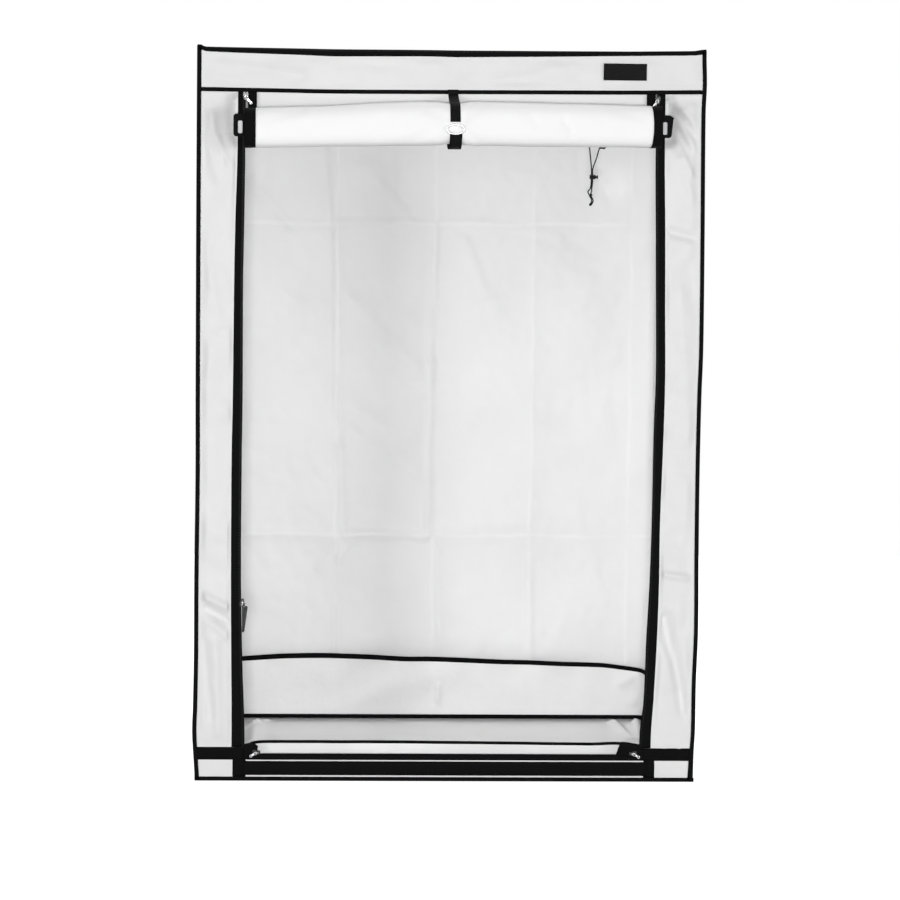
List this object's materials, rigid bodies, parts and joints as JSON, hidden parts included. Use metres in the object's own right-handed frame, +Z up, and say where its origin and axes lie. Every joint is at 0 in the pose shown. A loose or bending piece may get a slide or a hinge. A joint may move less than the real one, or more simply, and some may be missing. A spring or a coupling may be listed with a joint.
{
  "type": "indoor grow tent",
  "caption": "Free-standing indoor grow tent: pole frame under white cloth walls, zipped front door rolled up and strapped, lift-out floor tray, hanging bars, duct sleeves and a vent.",
  "frame": {"origin": "centre of the tent's floor, on the ground", "axes": "+Z up, +X to the right of someone who faces the door, +Y into the tent"},
  "size_m": [1.2749, 1.0338, 1.775],
  "materials": {
    "white_cloth": "coated woven polyester, satin",
    "tray_cloth": "heavier coated cloth with black piped rims",
    "black_tape": "woven tape and webbing, matt",
    "black_net": "fine mesh",
    "painted_pole": "white powder coat",
    "black_plastic": "moulded, matt",
    "plated_metal": "bright plating"
  },
  "bodies": {
    "tent": {"corner_bottom_front_left": "black_plastic", "corner_bottom_front_right": "black_plastic", "corner_bottom_back_left": "black_plastic", "corner_bottom_back_right": "black_plastic", "corner_top_front_left": "black_plastic", "corner_top_front_right": "black_plastic", "corner_top_back_left": "black_plastic", "corner_top_back_right": "black_plastic", "pole_bottom_front": "painted_pole", "pole_bottom_back": "painted_pole", "pole_bottom_left": "painted_pole", "pole_bottom_right": "painted_pole", "pole_top_front": "painted_pole", "pole_top_back": "painted_pole", "pole_top_left": "painted_pole", "pole_top_right": "painted_pole", "upright_front_left": "painted_pole", "upright_front_right": "painted_pole", "upright_back_left": "painted_pole", "upright_back_right": "painted_pole", "floor_sheet": "white_cloth", "roof_panel": "white_cloth", "back_wall": "white_cloth", "left_wall": "white_cloth", "right_wall": "white_cloth", "header_panel": "white_cloth", "front_left_panel": "white_cloth", "front_right_panel": "white_cloth", "sill_panel": "white_cloth", "edge_binding": "black_tape", "header_binding": "black_tape", "sill_band": "black_tape", "zip_tape_left": "black_tape", "zip_tape_right": "black_tape", "zip_tape_sill": "black_tape", "door_web": "white_cloth", "strap_front": "black_tape", "strap_back": "black_tape", "strap_ring": "plated_metal", "duct_sleeve_roof": "white_cloth", "duct_sleeve_right": "white_cloth", "vent_net": "black_net", "drawcord": "black_tape"},
    "rolled_door": {"door_roll": "white_cloth", "door_edge_tape_left": "black_tape", "door_edge_tape_right": "black_tape", "end_loop_left": "black_tape", "end_loop_right": "black_tape"},
    "top_left_slider": {"slider_top_left": "plated_metal"},
    "top_right_slider": {"slider_top_right": "plated_metal"},
    "low_left_slider": {"slider_low_left": "plated_metal"},
    "low_left_pull": {"pull_low_left": "black_tape"},
    "sill_left_slider": {"slider_sill_left": "plated_metal"},
    "sill_right_slider": {"slider_sill_right": "plated_metal"},
    "front_hanging_bar": {"hanging_bar_front": "painted_pole"},
    "back_hanging_bar": {"hanging_bar_back": "painted_pole"},
    "tray": {"floor_tray": "tray_cloth"},
    "flap": {"vent_flap": "white_cloth"},
    "lock": {"cord_lock": "black_plastic"},
    "lock_button": {"cord_lock_button": "black_plastic"}
  },
  "joints": [
    {"name": "door_unroll", "type": "slide", "parent": "tent", "child": "rolled_door", "axis": [0, 0, -1], "range_m": [0, 1.475], "deforming": ["door_web"]},
    {"name": "top_left_slider_run", "type": "slide", "parent": "tent", "child": "top_left_slider", "axis": [0, 0, 1], "range_m": [-1.08, 0]},
    {"name": "top_right_slider_run", "type": "slide", "parent": "tent", "child": "top_right_slider", "axis": [0, 0, 1], "range_m": [-1.5, 0]},
    {"name": "low_left_slider_run", "type": "slide", "parent": "tent", "child": "low_left_slider", "axis": [0, 0, 1], "range_m": [-0.22, 0.06]},
    {"name": "low_left_pull_swing", "type": "hinge", "parent": "low_left_slider", "child": "low_left_pull", "pos_m": [-0.492, -0.4638, 0.437], "axis": [-1, 0, 0], "range_deg": [0, 150]},
    {"name": "sill_left_slider_run", "type": "slide", "parent": "tent", "child": "sill_left_slider", "axis": [1, 0, 0], "range_m": [0, 0.42]},
    {"name": "sill_right_slider_run", "type": "slide", "parent": "tent", "child": "sill_right_slider", "axis": [1, 0, 0], "range_m": [-0.42, 0]},
    {"name": "front_bar_slide", "type": "slide", "parent": "tent", "child": "front_hanging_bar", "axis": [0, 1, 0], "range_m": [-0.2, 0.1]},
    {"name": "back_bar_slide", "type": "slide", "parent": "tent", "child": "back_hanging_bar", "axis": [0, 1, 0], "range_m": [-0.09, 0.15]},
    {"name": "tray_lift", "type": "slide", "parent": "tent", "child": "tray", "axis": [0, 0, 1], "range_m": [0, 0.25]},
    {"name": "vent_flap_swing", "type": "hinge", "parent": "tent", "child": "flap", "pos_m": [-0.6095, 0, 0.375], "axis": [0, 1, 0], "range_deg": [0, 165]},
    {"name": "cord_lock_slide", "type": "slide", "parent": "tent", "child": "lock", "axis": [0, 0, 1], "range_m": [-0.025, 0.012]},
    {"name": "cord_lock_press", "type": "slide", "parent": "lock", "child": "lock_button", "axis": [-1, 0, 0], "range_m": [0, 0.0025], "stiffness_N_per_m": 400}
  ]
}
